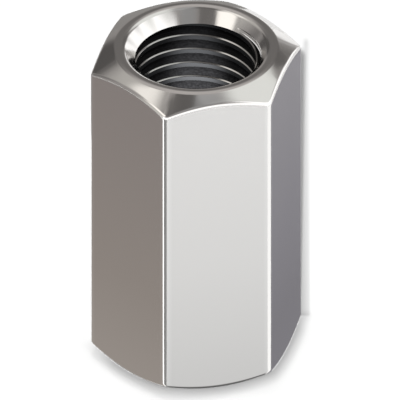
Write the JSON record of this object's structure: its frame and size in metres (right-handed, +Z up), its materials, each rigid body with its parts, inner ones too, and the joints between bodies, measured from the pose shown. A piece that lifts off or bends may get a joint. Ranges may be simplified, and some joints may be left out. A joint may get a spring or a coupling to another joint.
{
  "type": "coupling nut",
  "caption": "Long hexagon coupling nut in polished steel, chamfered and countersunk at both ends, with a right-hand thread right through it that joins threaded rods end to end.",
  "frame": {"origin": "centre of the lower end face, on the axis of the threaded bore", "axes": "+Z up along the bore's axis, which is the nut's length; +X through a corner of the hexagon; +Y square to a flat"},
  "size_m": [0.0218, 0.019, 0.036],
  "materials": {
    "nut_steel": "polished, with fine drawing marks along the flats and turning marks on the ends"
  },
  "bodies": {
    "root": {"coupling_nut": "nut_steel"}
  },
  "joints": []
}
